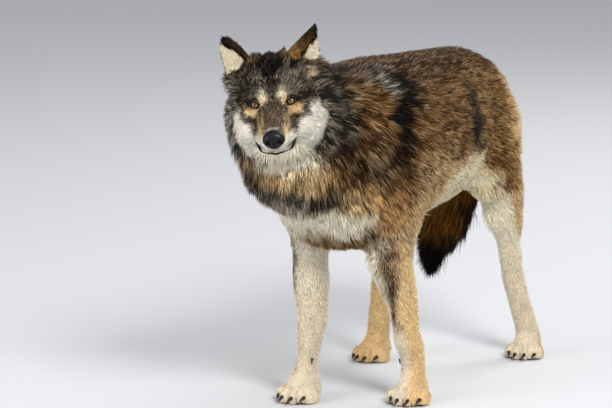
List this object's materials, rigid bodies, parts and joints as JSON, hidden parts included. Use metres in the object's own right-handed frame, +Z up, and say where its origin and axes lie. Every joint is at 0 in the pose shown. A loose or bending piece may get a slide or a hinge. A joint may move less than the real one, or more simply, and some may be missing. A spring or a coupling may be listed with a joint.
{
  "type": "grey wolf",
  "caption": "Life-size standing grey wolf in winter coat, with its head turned to its left and its tail hanging.",
  "frame": {"origin": "on the floor, below the middle of the bounding box", "axes": "+Z up, +X to the wolf's left, -Y the way its body faces; the head is turned from -Y towards +X"},
  "size_m": [0.3922, 1.2318, 0.8479],
  "materials": {
    "coat_head": "short winter fur, grizzled dark on the crown, white on the cheeks",
    "coat_neck": "long grizzled mane fur over a cream breast",
    "coat_trunk": "long ochre and grey winter fur with dark tips",
    "coat_tail": "bushy dark brown fur",
    "coat_legs": "short flat cream and tan fur",
    "coat_ears": "short dark fur outside, cream inside",
    "nose": "moist black skin",
    "eye": "clear wet eye with an amber iris",
    "claw": "dark horn, slightly worn"
  },
  "bodies": {
    "root": {"trunk": "coat_trunk", "neck": "coat_neck", "tail": "coat_tail", "leg_fore_left": "coat_legs", "claw_fore_left_1": "claw", "claw_fore_left_2": "claw", "claw_fore_left_3": "claw", "claw_fore_left_4": "claw", "claw_fore_left_5": "claw", "leg_fore_right": "coat_legs", "claw_fore_right_1": "claw", "claw_fore_right_2": "claw", "claw_fore_right_3": "claw", "claw_fore_right_4": "claw", "claw_fore_right_5": "claw", "leg_hind_left": "coat_legs", "claw_hind_left_1": "claw", "claw_hind_left_2": "claw", "claw_hind_left_3": "claw", "claw_hind_left_4": "claw", "leg_hind_right": "coat_legs", "claw_hind_right_1": "claw", "claw_hind_right_2": "claw", "claw_hind_right_3": "claw", "claw_hind_right_4": "claw", "nose": "nose", "ear_left": "coat_ears", "ear_right": "coat_ears", "head": "coat_head", "eye_left": "eye", "eye_right": "eye"}
  },
  "joints": []
}
